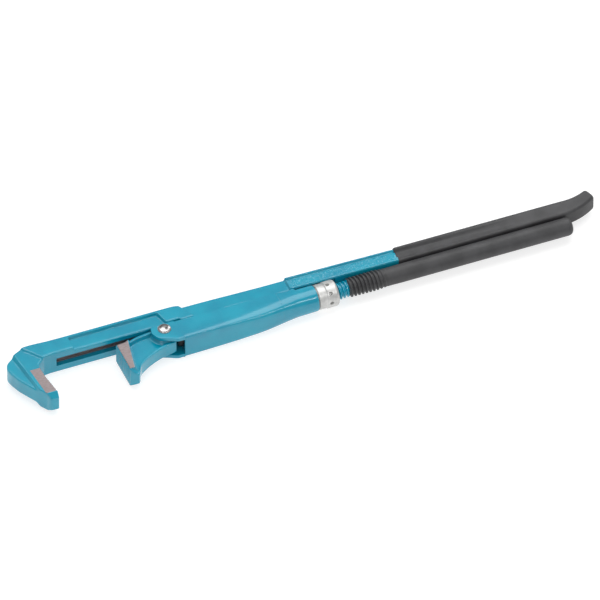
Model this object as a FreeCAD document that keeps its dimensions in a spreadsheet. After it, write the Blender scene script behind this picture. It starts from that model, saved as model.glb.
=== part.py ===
import FreeCAD, Part
import os
import re

import Sketcher
from FreeCAD import Placement, Rotation, Vector

# A 90 degree two-handle pipe wrench, lying flat. It is drawn about the jaw rivet: X runs back
# along the handles, Y towards the back of the shank, Z is up and the middle plane is at zero.
# At the end every piece is moved together, so that the origin is on the surface that the tool
# lies on, under the middle of its outline.

doc = FreeCAD.newDocument("PipeWrench")
sheet = doc.addObject("Spreadsheet::Sheet", "Sizes")

SIZES = {
    "body_thick": (24.0, "thickness of shank, pad and sleeve"),
    "back_y": (23.5, "back edge of the shank"),
    "shank_y": (8.2, "inner side of the shank, which the sleeve slides along"),
    "jaw_gap": (71.2, "opening between the two toothed faces, as drawn"),
    "moving_face": (46.3, "toothed face of the short jaw, ahead of its rivet"),
    "tooth_end": (36.5, "end of the toothed faces, below the rivet"),
    "head_thick": (21.0, "thickness of the jaws beside the teeth"),
    "floor_thick": (15.0, "thickness of the hook's recessed side"),
    "head_depth": (27.5, "hook, from its toothed face to its back"),
    "root_set": (5.5, "how far the hook's inner corner stands back from its teeth"),
    "tooth_pitch": (3.6, "spacing of the teeth"),
    "tooth_depth": (1.2, "depth of the teeth"),
    "tooth_count": (9.0, "number of teeth on each jaw"),
    "ledge_start": (82.0, "front end of the shank's side recess, ahead of the rivet"),
    "ledge_end": (3.6, "rear end of the shank's side recess, behind the rivet"),
    "ledge_depth": (3.4, "depth of the shank's side recess"),
    "rim_wide": (2.2, "rim left along the back of that recess"),
    "slot_wide": (8.7, "width of the groove in the shank's inner side"),
    "slot_front": (98.6, "front end of that groove, ahead of the rivet"),
    "slot_deep": (6.8, "depth of that groove"),
    "pad_y": (5.9, "inner side of the pad"),
    "pad_front": (17.0, "front of the pad's step, behind the rivet"),
    "pad_rear": (30.8, "rear point of the pad"),
    "neck_thick": (18.0, "thickness of the neck"),
    "neck_back": (21.6, "back edge of the neck and the handle"),
    "handle_start": (121.8, "where the ribbed handle starts, behind the rivet"),
    "rib_height": (21.5, "height of the back rib at the handle's front"),
    "rib_wide": (3.0, "thickness of the back rib"),
    "lip_wide": (1.6, "thickness of the rib on the inner edge"),
    "web_drop": (1.3, "how far the web lies below the inner rib, each side"),
    "handle_taper": (5.0, "how much lower the ribs are where the grip starts"),
    "grip_start": (225.5, "where the upper grip starts, behind the rivet"),
    "bend_start": (386.0, "where the upper grip starts to turn outwards"),
    "bend_radius": (55.0, "radius of that turn, on its middle line"),
    "bend_turn": (30.0, "angle of that turn"),
    "bar_wide": (11.6, "steel bar under the upper grip, across"),
    "bar_thick": (11.0, "steel bar under the upper grip, in height"),
    "coat": (1.2, "thickness of the dipped coat"),
    "hinge_x": (20.0, "hinge pin behind the rivet"),
    "hinge_y": (13.0, "hinge pin towards the back"),
    "hinge_radius": (3.5, "radius of the hinge pin"),
    "eye_radius": (6.2, "radius of the screw leg's eye"),
    "eye_thick": (8.0, "thickness of the screw leg's eye"),
    "pin_cover": (3.5, "metal left over the top end of the hinge pin"),
    "axis_y": (-1.5, "axis of the screw"),
    "crank_end": (52.0, "where the eye's arm meets the round of the screw leg"),
    "thread_pitch": (3.5, "pitch of the screw"),
    "thread_root": (6.4, "radius at the root of the screw"),
    "thread_crest": (7.7, "radius at the crest of the screw"),
    "thread_start": (64.0, "first turn of the screw, behind the rivet"),
    "thread_gap": (0.25, "play between the screw and the nut, all round"),
    "lower_start": (170.5, "where the lower grip starts, behind the rivet"),
    "lower_ridges": (41.0, "length over which the thread shows through the grip"),
    "lower_end": (392.6, "end of the lower grip, behind the rivet"),
    "lower_radius": (9.2, "radius of the lower grip"),
    "ridge_radius": (8.5, "radius over the turns that show through the grip"),
    "sleeve_floor": (15.0, "outside of the sleeve's floor, from the screw's axis"),
    "cheek_y": (5.6, "upper edge of the sleeve's cheeks"),
    "cheek_wall": (3.7, "thickness of the sleeve's cheeks"),
    "floor_wall": (3.5, "thickness of the sleeve's floor"),
    "ear_radius": (12.0, "radius of the sleeve's ears"),
    "ear_top": (7.1, "top of the ears, under the shank"),
    "wall_front": (12.0, "front edge of the sleeve's floor, behind the rivet"),
    "taper_start": (62.0, "where the sleeve starts to turn round"),
    "channel_end": (83.0, "rear end of the sleeve's open channel, behind the rivet"),
    "tube_start": (122.0, "where the sleeve is fully round"),
    "tube_end": (142.0, "end of the sleeve's tube"),
    "tube_radius": (11.7, "radius of the sleeve's tube"),
    "tube_play": (0.3, "play between the screw and the sleeve's bore"),
    "spigot_radius": (9.6, "radius of the spigot that the nut turns on"),
    "spigot_long": (6.0, "length of that spigot"),
    "washer_thick": (0.8, "thickness of the thrust washer"),
    "nut_radius": (12.0, "radius of the nut"),
    "nut_step": (0.5, "how much smaller the nut's front half is"),
    "nut_long": (18.9, "length of the nut"),
    "nut_holes": (8.0, "number of tommy holes"),
    "hole_radius": (1.6, "radius of the tommy holes"),
    "hole_deep": (2.6, "depth of the tommy holes"),
    "ring_wide": (1.0, "width of the retaining ring"),
    "ring_high": (1.4, "height of the retaining ring's section"),
    "run_gap": (0.1, "play of faces that turn on each other"),
    "jaw_radius": (9.5, "radius of the short jaw's hub"),
    "rivet_radius": (4.0, "radius of the jaw rivet"),
    "rivet_head": (5.6, "radius of the rivet's dome"),
    "dome_high": (2.5, "height of the rivet's dome"),
    "rivet_play": (0.05, "play between the jaw and its rivet"),
    "side_gap": (0.3, "play between the jaw's hub and each ear"),
    "web_thick": (9.0, "thickness of the short jaw's web"),
    "heel_thick": (12.0, "thickness of the short jaw at its heel"),
    "spring_thick": (0.8, "thickness of the leaf spring"),
    "spring_wide": (8.0, "width of the leaf spring"),
    "spring_end": (50.0, "rear end of the leaf spring, behind the rivet"),
    "tooth_start": (-1.6, "upper end of the row of teeth"),
    "knob_radius": (2.0, "radius of the small knob on the shank's back edge"),
}

for row, (name, (value, note)) in enumerate(SIZES.items(), start=1):
    sheet.set("A%d" % row, name)
    sheet.set("B%d" % row, str(value))
    sheet.set("C%d" % row, note)
    sheet.setAlias("B%d" % row, name)
doc.recompute()


def bound(expression):
    """An expression on the sheet's names, as the document writes it."""
    return re.sub(r"[a-z_]+", lambda word: word[0] if word[0] not in SIZES
                  else "Sizes." + word[0], expression)


def size(expression):
    """An expression on the sheet's names, worked out in millimetres."""
    return float(sheet.evalExpression(bound(expression)))


# ---- helpers that draw with the document's own features

PIECES = []


def body(name):
    """A new PartDesign body that becomes the sub-part of that name."""
    made = doc.addObject("PartDesign::Body", name)
    made.Label = name
    PIECES.append(made)
    return made


def empty_sketch(host, name, plane, out="0"):
    """A sketch on one of the body's own planes, moved out along the plane's normal."""
    sketch = host.newObject("Sketcher::SketchObject", name)
    role = [flat for flat in host.Origin.OriginFeatures if flat.Role == plane][0]
    sketch.AttachmentSupport = [(role, "")]
    sketch.MapMode = "FlatFace"
    if out != "0":
        sketch.setExpression("AttachmentOffset.Base.z", bound(out))
    return sketch


def pin_down(sketch, side, point, across, along):
    """Holds one point of a sketch at two expressions from the sketch's origin."""
    for kind, place in (("DistanceX", across), ("DistanceY", along)):
        rule = Sketcher.Constraint(kind, -1, 1, side, point, size(place))
        at = sketch.addConstraint(rule)
        sketch.setExpression("Constraints[%d]" % at, bound(place))


def outline(host, name, corners, plane="XY_Plane", out="0"):
    """A closed sketch through corners, each placed by an expression across and one along."""
    sketch = empty_sketch(host, name, plane, out)
    points = [Vector(size(across), size(along), 0) for across, along in corners]
    count = len(corners)
    for start, end in zip(points, points[1:] + points[:1]):
        sketch.addGeometry(Part.LineSegment(start, end))
    for side in range(count):
        sketch.addConstraint(Sketcher.Constraint("Coincident", side, 2, (side + 1) % count, 1))
    for side, (across, along) in enumerate(corners):
        pin_down(sketch, side, 1, across, along)
    return sketch


def ring(host, name, across, along, radius, plane="XY_Plane", out="0"):
    """A sketch of one circle."""
    sketch = empty_sketch(host, name, plane, out)
    middle = Vector(size(across), size(along), 0)
    sketch.addGeometry(Part.Circle(middle, Vector(0, 0, 1), size(radius)))
    pin_down(sketch, 0, 3, across, along)
    at = sketch.addConstraint(Sketcher.Constraint("Radius", 0, size(radius)))
    sketch.setExpression("Constraints[%d]" % at, bound(radius))
    return sketch


def turning_line(sketch, start, end):
    """A construction line that a revolution or groove turns about."""
    side = sketch.addGeometry(Part.LineSegment(Vector(size(start[0]), size(start[1]), 0),
                                               Vector(size(end[0]), size(end[1]), 0)), True)
    pin_down(sketch, side, 1, *start)
    pin_down(sketch, side, 2, *end)


def grown(host, kind, sketch, **settings):
    """A feature on a sketch. Lengths and angles are expressions on the sheet."""
    before = host.Shape.Volume if host.Tip else 0.0
    feature = host.newObject("PartDesign::" + kind, sketch.Name + "_" + kind.lower())
    feature.Profile = sketch
    for name, value in settings.items():
        if name in ("Length", "Angle"):
            feature.setExpression(name, bound(value))
        else:
            setattr(feature, name, value)
    doc.recompute()
    after = host.Shape.Volume
    if (after <= before) == (kind in ("Pad", "Revolution", "AdditiveLoft")):
        raise RuntimeError(feature.Name + " changes nothing")
    return feature


def slab(host, name, corners, height):
    """Material between the corners, half above and half below the middle plane."""
    return grown(host, "Pad", outline(host, name, corners), Length=height, SideType="Symmetric")


def sunk(host, name, corners, depth, plane="XY_Plane"):
    """A pocket between the corners, half above and half below the plane."""
    sketch = outline(host, name, corners, plane)
    return grown(host, "Pocket", sketch, Length=depth, SideType="Symmetric")


def teeth(host, name, face, side):
    """Saw teeth cut into a toothed face, repeated along it. side is the way the face looks."""
    notch = [("%s + %s * 0.5" % (face, side), "tooth_start"),
             ("%s + %s * 0.5" % (face, side), "tooth_start - tooth_pitch * 0.92"),
             ("%s - %s * tooth_depth" % (face, side), "tooth_start - tooth_pitch * 0.3")]
    sketch = outline(host, name, notch)
    cut = grown(host, "Pocket", sketch, Length="body_thick * 2", SideType="Symmetric")
    row = host.newObject("PartDesign::LinearPattern", name + "_row")
    row.Originals = [cut]
    row.Direction = (sketch, ["V_Axis"])
    row.Reversed = True
    row.setExpression("Length", bound("tooth_pitch * (tooth_count - 1)"))
    row.setExpression("Occurrences", bound("tooth_count"))
    host.Tip = row
    before = cut.Shape.Volume
    doc.recompute()
    if not host.Shape.Volume < before:
        raise RuntimeError(name + " is not repeated")


# ---- the fixed leg: hook, shank, pad, neck and handle in one forging

hook = "(0 - moving_face - jaw_gap)"
hook_back = hook + " - head_depth"
leg = body("fixed_leg")

slab(leg, "shank", [
    (hook + " + root_set", "shank_y"),
    ("pad_front", "shank_y"),
    ("pad_front + 1.8", "pad_y"),
    ("pad_rear", "pad_y"),
    ("pad_rear - 7.6", "neck_back - 0.3"),
    ("pad_front + 2", "back_y"),
    (hook + " - 6.5", "back_y"),
], "body_thick")
slab(leg, "head", [
    (hook, "0 - 1"),
    (hook + " + root_set", "shank_y"),
    (hook + " + root_set + 6", "shank_y + 3"),
    (hook + " - 5", "back_y - 1"),
    (hook + " - 15.1", "back_y - 5.8"),
    (hook + " - 15.1", "6"),
    (hook + " - 8.6", "0 - tooth_end - 1"),
    (hook + " - 1", "0 - tooth_end - 1"),
    (hook, "0 - tooth_end"),
], "head_thick")
slab(leg, "head_side", [
    (hook + " - 1", "0"),
    (hook + " + 8", "shank_y + 3"),
    (hook + " - 3", "back_y"),
    (hook + " - 6.8", "back_y"),
    (hook + " - 17", "back_y - 6"),
    (hook_back, "8"),
    (hook_back + " + 1.5", "0 - 8"),
    (hook + " - 16.5", "0 - 27"),
    (hook + " - 9.6", "0 - tooth_end - 1"),
    (hook + " - 5", "0 - tooth_end - 1"),
], "floor_thick")
slab(leg, "nose", [
    (hook + " - 9.9", "0 - tooth_end + 5"),
    (hook + " - 8.7", "0 - tooth_end - 4.6"),
    (hook + " - 1.4", "0 - tooth_end - 4.6"),
    (hook + " - 0.4", "0 - tooth_end + 5"),
], "floor_thick - 1")
slab(leg, "neck", [
    ("pad_rear - 12", "pad_y + 0.3"),
    ("handle_start + 2", "pad_y + 0.3"),
    ("handle_start + 2", "neck_back"),
    ("pad_rear - 12", "neck_back"),
], "neck_thick")

grown(leg, "Pad", ring(leg, "knob", "8", "back_y - 0.3", "knob_radius"), Length="neck_thick",
      SideType="Symmetric")


def handle_strip(name, back, wide, height):
    """One strip along the handle, which gets lower towards the grip."""
    profile = outline(leg, name, [
        ("handle_start", "(" + height + ") / 2"),
        ("grip_start", "(" + height + " - handle_taper) / 2"),
        ("grip_start", "0 - (" + height + " - handle_taper) / 2"),
        ("handle_start", "0 - (" + height + ") / 2"),
    ], "XZ_Plane", "0 - (" + back + ")")
    grown(leg, "Pad", profile, Length=wide)


handle_strip("back_rib", "neck_back", "rib_wide", "rib_height")
handle_strip("handle_web", "neck_back - rib_wide", "neck_back - rib_wide - shank_y - lip_wide",
             "neck_thick - 1 - web_drop * 2")
handle_strip("inner_rib", "shank_y + lip_wide", "lip_wide", "neck_thick - 1")


def bar_section(host, name, out, wide, thick, corner):
    """An eight-sided section for the bar and the grip round it, with the bend's axis."""
    half_wide = "(%s) / 2" % wide
    half_thick = "(%s) / 2" % thick
    middle = "(neck_back + shank_y + 0.2) / 2"
    signs = [(1, 1, 0), (1, 1, 1), (-1, 1, 1), (-1, 1, 0),
             (-1, -1, 0), (-1, -1, 1), (1, -1, 1), (1, -1, 0)]
    corners = []
    for across, along, high in signs:
        inset = (corner, "0") if high else ("0", corner)
        corners.append(("%s + %d * (%s - %s)" % (middle, across, half_wide, inset[0]),
                        "%d * (%s - %s)" % (along, half_thick, inset[1])))
    sketch = outline(host, name, corners, "YZ_Plane", out)
    turning_line(sketch, (middle + " + bend_radius", "0"), (middle + " + bend_radius", "10"))
    return sketch


def bent_bar(host, name, start, wide, thick, corner, turn, straight, turned):
    """A straight bar that ends in the handle's outward bend, added or cut away."""
    run = bar_section(host, name, "bend_start", wide, thick, corner)
    grown(host, straight, run, Length="bend_start - (" + start + ")", Reversed=straight == "Pad")
    bend = bar_section(host, name + "_bend", "bend_start", wide, thick, corner)
    grown(host, turned, bend, ReferenceAxis=(bend, ["Axis0"]), Angle=turn)


tip_turn = "bend_turn - coat / bend_radius * 180 / pi"
bent_bar(leg, "bar", "grip_start - 1", "bar_wide", "bar_thick", "2", tip_turn, "Pad", "Revolution")

# the side recess, the groove for the jaw, the slot for the screw leg's eye and its pin
ledge = outline(leg, "ledge", [
    ("0 - ledge_start", "shank_y - 1"),
    ("0 - ledge_start", "back_y - rim_wide"),
    ("ledge_end - 1.5", "back_y - rim_wide"),
    ("ledge_end", "back_y - rim_wide - 1.5"),
    ("ledge_end + 3", "shank_y - 1"),
], out="body_thick / 2 - ledge_depth")
grown(leg, "Pocket", ledge, Length="ledge_depth + 1", Reversed=True)
sunk(leg, "groove", [
    ("0 - slot_front", "shank_y - 1"),
    ("0 - slot_front", "shank_y + slot_deep"),
    ("hinge_x - eye_radius - 5", "shank_y + slot_deep"),
    ("hinge_x - eye_radius - 1", "hinge_y + eye_radius + 0.4"),
    ("hinge_x + eye_radius + 2", "hinge_y + eye_radius + 0.4"),
    ("crank_end + 8", "pad_y - 1"),
], "slot_wide")
pin_hole = ring(leg, "pin_hole", "hinge_x", "hinge_y", "hinge_radius",
                out="0 - body_thick / 2")
grown(leg, "Pocket", pin_hole, Length="body_thick - pin_cover", Reversed=True)
relief = outline(leg, "nut_relief", [
    ("tube_start - 62", "axis_y"),
    ("tube_start - 62", "axis_y + nut_radius + 0.6"),
    ("tube_end + nut_long + 3", "axis_y + nut_radius + 0.6"),
    ("tube_end + nut_long + 3", "axis_y"),
])
turning_line(relief, ("0", "axis_y"), ("10", "axis_y"))
grown(leg, "Groove", relief, ReferenceAxis=(relief, ["Axis0"]), Angle="360")
teeth(leg, "hook_teeth", hook, "1")


# ---- the screw leg: flat cranked eye, threaded length and the rod under the lower grip

screw_leg = body("screw_leg")
slab(screw_leg, "arm", [
    ("hinge_x - 2", "hinge_y - eye_radius + 0.2"),
    ("hinge_x - 2", "hinge_y + eye_radius - 0.2"),
    ("hinge_x + 3", "hinge_y + eye_radius - 0.7"),
    ("crank_end - 2", "axis_y + thread_root - 0.2"),
    ("crank_end + 8", "axis_y + thread_root - 0.6"),
    ("crank_end + 8", "axis_y - thread_root + 0.6"),
    ("crank_end - 6", "axis_y - thread_root + 0.2"),
], "eye_thick")
grown(screw_leg, "Pad", ring(screw_leg, "eye", "hinge_x", "hinge_y", "eye_radius"),
      Length="eye_thick", SideType="Symmetric")
rod = outline(screw_leg, "rod", [
    ("crank_end", "axis_y"),
    ("crank_end", "axis_y + thread_root - 2.5"),
    ("crank_end + 2.5", "axis_y + thread_root"),
    ("lower_start + lower_ridges", "axis_y + thread_root"),
    ("lower_start + lower_ridges + 3", "axis_y + lower_radius - coat"),
    ("lower_end - coat - 4", "axis_y + lower_radius - coat"),
    ("lower_end - coat", "axis_y + lower_radius - coat - 4"),
    ("lower_end - coat", "axis_y"),
])
turning_line(rod, ("0", "axis_y"), ("10", "axis_y"))
grown(screw_leg, "Revolution", rod, ReferenceAxis=(rod, ["Axis0"]), Angle="360")
eye_hole = ring(screw_leg, "eye_hole", "hinge_x", "hinge_y", "hinge_radius + rivet_play")
grown(screw_leg, "Pocket", eye_hole, Length="eye_thick * 2", SideType="Symmetric")


def turns(host, name, kind, start, length, foot, crest, foot_wide, crest_wide):
    """A screw's ridge, or the nut's groove: a trapezium carried along a helix."""
    profile = outline(host, name, [
        (start + " - (" + foot_wide + ") / 2", "axis_y + " + foot),
        (start + " - (" + crest_wide + ") / 2", "axis_y + " + crest),
        (start + " + (" + crest_wide + ") / 2", "axis_y + " + crest),
        (start + " + (" + foot_wide + ") / 2", "axis_y + " + foot),
    ])
    turning_line(profile, ("0", "axis_y"), ("10", "axis_y"))
    before = host.Shape.Volume
    helix = host.newObject("PartDesign::" + kind, name + "_helix")
    helix.Profile = profile
    helix.ReferenceAxis = (profile, ["Axis0"])
    helix.Mode = "pitch-height-angle"
    helix.setExpression("Pitch", bound("thread_pitch"))
    helix.setExpression("Height", bound(length))
    doc.recompute()
    if abs(host.Shape.Volume - before) < 1:
        raise RuntimeError(name + " makes no thread")
    return helix


turns(screw_leg, "screw", "AdditiveHelix", "thread_start", "lower_start - thread_start - 2",
      "thread_root - 0.3", "thread_crest", "thread_pitch * 0.72", "thread_pitch * 0.26")


# ---- the nut: plated, stepped, with tommy holes round its middle and the thread inside

nut_front = "(tube_end + washer_thick + run_gap)"
nut = body("adjusting_nut")
blank = outline(nut, "blank", [
    (nut_front, "axis_y + spigot_radius + run_gap"),
    (nut_front, "axis_y + nut_radius - nut_step - 0.6"),
    (nut_front + " + 0.6", "axis_y + nut_radius - nut_step"),
    (nut_front + " + nut_long * 0.42", "axis_y + nut_radius - nut_step"),
    (nut_front + " + nut_long * 0.46", "axis_y + nut_radius"),
    (nut_front + " + nut_long - 2.6", "axis_y + nut_radius"),
    (nut_front + " + nut_long - 0.8", "axis_y + nut_radius - 0.9"),
    (nut_front + " + nut_long", "axis_y + nut_radius - 2.6"),
    (nut_front + " + nut_long", "axis_y + thread_root + thread_gap"),
    ("tube_end + spigot_long + run_gap * 3", "axis_y + thread_root + thread_gap"),
    ("tube_end + spigot_long + run_gap * 3", "axis_y + spigot_radius + run_gap"),
])
turning_line(blank, ("0", "axis_y"), ("10", "axis_y"))
grown(nut, "Revolution", blank, ReferenceAxis=(blank, ["Axis0"]), Angle="360")
ring_place = "(tube_end + spigot_long - 2.6)"
ring_seat = outline(nut, "ring_seat", [
    (ring_place, "axis_y + spigot_radius"),
    (ring_place, "axis_y + spigot_radius + run_gap + ring_high / 2"),
    (ring_place + " + ring_wide", "axis_y + spigot_radius + run_gap + ring_high / 2"),
    (ring_place + " + ring_wide", "axis_y + spigot_radius"),
])
turning_line(ring_seat, ("0", "axis_y"), ("10", "axis_y"))
grown(nut, "Groove", ring_seat, ReferenceAxis=(ring_seat, ["Axis0"]), Angle="360")
tommy = ring(nut, "tommy", nut_front + " + nut_long * 0.56", "0", "hole_radius", "XZ_Plane",
             "0 - axis_y - nut_radius + hole_deep")
hole = grown(nut, "Pocket", tommy, Length="hole_deep + 2")
around = nut.newObject("PartDesign::PolarPattern", "tommy_holes")
around.Originals = [hole]
around.Axis = (ring_seat, ["Axis0"])
around.Angle = 360
around.setExpression("Occurrences", bound("nut_holes"))
nut.Tip = around
doc.recompute()
first_turn = "(thread_start + floor((tube_end - thread_start) / thread_pitch) * thread_pitch)"
turns(nut, "nut_thread", "SubtractiveHelix", first_turn, "nut_long + thread_pitch * 2",
      "thread_root - 0.1", "thread_crest + thread_gap",
      "thread_pitch * 0.72 + thread_gap * 3.4", "thread_pitch * 0.26 + thread_gap * 3.4")


# ---- the sleeve: ears, cheeks and floor in front, turning into a round tube behind

sleeve = body("sleeve")
floor_y = "(axis_y - sleeve_floor)"
slab(sleeve, "channel", [
    ("0", "cheek_y"),
    ("0", "0 - ear_radius"),
    ("wall_front", "0 - ear_radius"),
    ("wall_front", floor_y),
    ("tube_end", floor_y),
    ("tube_end", "cheek_y"),
], "body_thick")
grown(sleeve, "Pad", ring(sleeve, "ears", "0", "0", "ear_radius"), Length="body_thick",
      SideType="Symmetric")
sunk(sleeve, "ear_flat", [
    ("0 - ear_radius - 1", "ear_top"),
    ("0 - ear_radius - 1", "ear_radius + 1"),
    ("ear_radius + 6", "ear_radius + 1"),
    ("ear_radius + 6", "cheek_y"),
    ("ear_radius + 3", "cheek_y"),
    ("ear_radius - 1", "ear_top"),
], "body_thick + 2")
taper = outline(sleeve, "taper", [
    ("taper_start", "axis_y + sleeve_floor * 1.3"),
    ("(taper_start * 2 + tube_start) / 3", "axis_y + sleeve_floor * 1.08"),
    ("(taper_start + tube_start * 2) / 3", "axis_y + (sleeve_floor + tube_radius) / 2 - 0.4"),
    ("tube_start", "axis_y + tube_radius"),
    ("tube_end + 1", "axis_y + tube_radius"),
    ("tube_end + 1", "axis_y + sleeve_floor * 3"),
    ("taper_start", "axis_y + sleeve_floor * 3"),
])
turning_line(taper, ("0", "axis_y"), ("10", "axis_y"))
grown(sleeve, "Groove", taper, ReferenceAxis=(taper, ["Axis0"]), Angle="360")
inner_floor = floor_y + " + floor_wall"
sunk(sleeve, "inside", [
    ("0 - ear_radius - 1", inner_floor),
    ("0 - ear_radius - 1", "ear_radius + 1"),
    ("channel_end", "ear_radius + 1"),
    ("channel_end", inner_floor),
], "body_thick - cheek_wall * 2")
sunk(sleeve, "arm_slot", [
    ("channel_end - 1", "axis_y"),
    ("channel_end - 1", "ear_radius + 1"),
    ("tube_start - 10", "ear_radius + 1"),
    ("tube_start - 10", "axis_y"),
], "eye_thick + 1.2")
tube = outline(sleeve, "tube", [
    ("tube_start", "axis_y"),
    ("tube_start", "axis_y + tube_radius"),
    ("tube_end - 0.8", "axis_y + tube_radius"),
    ("tube_end", "axis_y + tube_radius - 0.8"),
    ("tube_end", "axis_y + spigot_radius"),
    ("tube_end + spigot_long", "axis_y + spigot_radius"),
    ("tube_end + spigot_long", "axis_y"),
])
turning_line(tube, ("0", "axis_y"), ("10", "axis_y"))
grown(sleeve, "Revolution", tube, ReferenceAxis=(tube, ["Axis0"]), Angle="360")
bore = outline(sleeve, "bore", [
    ("channel_end - 3", "axis_y"),
    ("channel_end - 3", "axis_y + thread_crest + tube_play"),
    ("tube_end + spigot_long + 1", "axis_y + thread_crest + tube_play"),
    ("tube_end + spigot_long + 1", "axis_y"),
])
turning_line(bore, ("0", "axis_y"), ("10", "axis_y"))
grown(sleeve, "Groove", bore, ReferenceAxis=(bore, ["Axis0"]), Angle="360")
ring_room = outline(sleeve, "ring_room", [
    (ring_place + " - run_gap", "axis_y + spigot_radius + 1"),
    (ring_place + " - run_gap", "axis_y + spigot_radius - ring_high / 2 - run_gap"),
    (ring_place + " + ring_wide + run_gap", "axis_y + spigot_radius - ring_high / 2 - run_gap"),
    (ring_place + " + ring_wide + run_gap", "axis_y + spigot_radius + 1"),
])
turning_line(ring_room, ("0", "axis_y"), ("10", "axis_y"))
grown(sleeve, "Groove", ring_room, ReferenceAxis=(ring_room, ["Axis0"]), Angle="360")
grown(sleeve, "Pocket", ring(sleeve, "rivet_hole", "0", "0", "rivet_radius"),
      Length="body_thick + 2", SideType="Symmetric")
spring_hole = ring(sleeve, "spring_hole", "spring_end - 5", "0", "2", "XZ_Plane",
                   "0 - (" + inner_floor + ")")
grown(sleeve, "Pocket", spring_hole, Length="floor_wall - 1", Reversed=True)


# ---- the short jaw: tooth block, ribbed web, hub on the rivet and heel

face = "(0 - moving_face)"
jaw = body("movable_jaw")
slab(jaw, "web", [
    (face + " + 3", "0 - 1.5"),
    (face + " + 12", "0 - 1"),
    ("0 - 26", "2.8"),
    ("0 - 19", "4.2"),
    ("0 - 6", "jaw_radius - 3"),
    ("4", "0 - 8"),
    ("8.6", "0 - 9"),
    ("8.6", "0 - ear_radius - 1.8"),
    ("0 - 4", "0 - ear_radius - 3.2"),
    ("0 - 10.6", "0 - ear_radius - 5.1"),
    ("0 - 16.8", "0 - ear_radius - 7.5"),
    ("0 - 28.2", "0 - ear_radius - 13.4"),
    ("0 - 33.2", "0 - ear_radius - 16.4"),
    (face + " + 8.5", "0 - tooth_end + 0.9"),
    (face + " + 6.1", "0 - tooth_end - 2.7"),
    (face + " + 2", "0 - tooth_end + 0.6"),
], "web_thick")
slab(jaw, "upper_rib", [
    (face + " + 9", "0 - 4.5"),
    (face + " + 9", "0 - 1"),
    ("0 - 26", "2.8"),
    ("0 - 19", "4.2"),
    ("0 - 6", "jaw_radius - 3"),
    ("0 - 6", "1"),
    ("0 - 19", "1.2"),
    ("0 - 25", "0"),
], "heel_thick")
slab(jaw, "lower_rib", [
    ("8.6", "0 - 9"),
    ("8.6", "0 - ear_radius - 1.8"),
    ("0 - 4", "0 - ear_radius - 3.2"),
    ("0 - 10.6", "0 - ear_radius - 5.1"),
    ("0 - 16.8", "0 - ear_radius - 7.5"),
    ("0 - 28.2", "0 - ear_radius - 13.4"),
    ("0 - 33.2", "0 - ear_radius - 16.4"),
    (face + " + 8.5", "0 - tooth_end + 0.9"),
    (face + " + 6.1", "0 - tooth_end - 2.7"),
    (face + " + 2", "0 - tooth_end + 0.6"),
    (face + " + 5", "0 - tooth_end + 4"),
    ("0 - 36.5", "0 - ear_radius - 14"),
    ("0 - 26", "0 - ear_radius - 8.6"),
    ("0 - 17", "0 - ear_radius - 3.4"),
    ("0 - 8", "0 - ear_radius + 1.5"),
    ("0 - 1", "0 - 8"),
], "heel_thick")
slab(jaw, "tooth_block", [
    (face, "tooth_start + 1"),
    (face + " + 11", "tooth_start + 1.3"),
    (face + " + 4.3", "0 - tooth_end + 1.6"),
    (face + " + 2.8", "0 - tooth_end + 0.4"),
    (face, "0 - tooth_end + 2.3"),
], "head_thick")
grown(jaw, "Pad", ring(jaw, "hub", "0", "0", "jaw_radius"),
      Length="body_thick - cheek_wall * 2 - side_gap * 2", SideType="Symmetric")
sunk(jaw, "hub_flat", [
    ("0 - jaw_radius", "ear_top - 0.6"),
    ("0 - jaw_radius", "jaw_radius + 1"),
    ("jaw_radius", "jaw_radius + 1"),
    ("jaw_radius", "ear_top - 0.6"),
], "body_thick")
grown(jaw, "Pocket", ring(jaw, "jaw_bore", "0", "0", "rivet_radius + rivet_play"),
      Length="body_thick", SideType="Symmetric")
teeth(jaw, "jaw_teeth", face, "(0 - 1)")


# ---- the two dipped grips

grip = body("upper_grip")
bent_bar(grip, "grip", "grip_start", "bar_wide + coat * 2", "bar_thick + coat * 2", "3",
         "bend_turn", "Pad", "Revolution")
bent_bar(grip, "grip_bore", "grip_start - 1", "bar_wide", "bar_thick", "2", tip_turn,
         "Pocket", "Groove")
lower = body("lower_grip")
dip = outline(lower, "dip", [
    ("lower_start", "axis_y"),
    ("lower_start", "axis_y + thread_root + 0.7"),
    ("lower_start + lower_ridges", "axis_y + thread_root + 1.4"),
    ("lower_start + lower_ridges + 6", "axis_y + lower_radius"),
    ("lower_end - 4.6", "axis_y + lower_radius"),
    ("lower_end", "axis_y + lower_radius - 4.6"),
    ("lower_end", "axis_y"),
])
turning_line(dip, ("0", "axis_y"), ("10", "axis_y"))
grown(lower, "Revolution", dip, ReferenceAxis=(dip, ["Axis0"]), Angle="360")
turns(lower, "dipped_turns", "AdditiveHelix", "lower_start + thread_pitch / 2 + 0.6",
      "lower_ridges - 4", "thread_root + 0.4", "ridge_radius", "thread_pitch * 0.8",
      "thread_pitch * 0.34")
rod_room = outline(lower, "rod_room", [
    ("lower_start - 1", "axis_y"),
    ("lower_start - 1", "axis_y + thread_root"),
    ("lower_start + lower_ridges", "axis_y + thread_root"),
    ("lower_start + lower_ridges + 3", "axis_y + lower_radius - coat"),
    ("lower_end - coat - 4", "axis_y + lower_radius - coat"),
    ("lower_end - coat", "axis_y + lower_radius - coat - 4"),
    ("lower_end - coat", "axis_y"),
])
turning_line(rod_room, ("0", "axis_y"), ("10", "axis_y"))
grown(lower, "Groove", rod_room, ReferenceAxis=(rod_room, ["Axis0"]), Angle="360")


# ---- small parts: pins, rivets, washer, ring and spring

hinge_pin = body("hinge_pin")
grown(hinge_pin, "Pad", ring(hinge_pin, "pin", "hinge_x", "hinge_y", "hinge_radius",
                             out="0 - body_thick / 2"),
      Length="body_thick - pin_cover")

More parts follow.
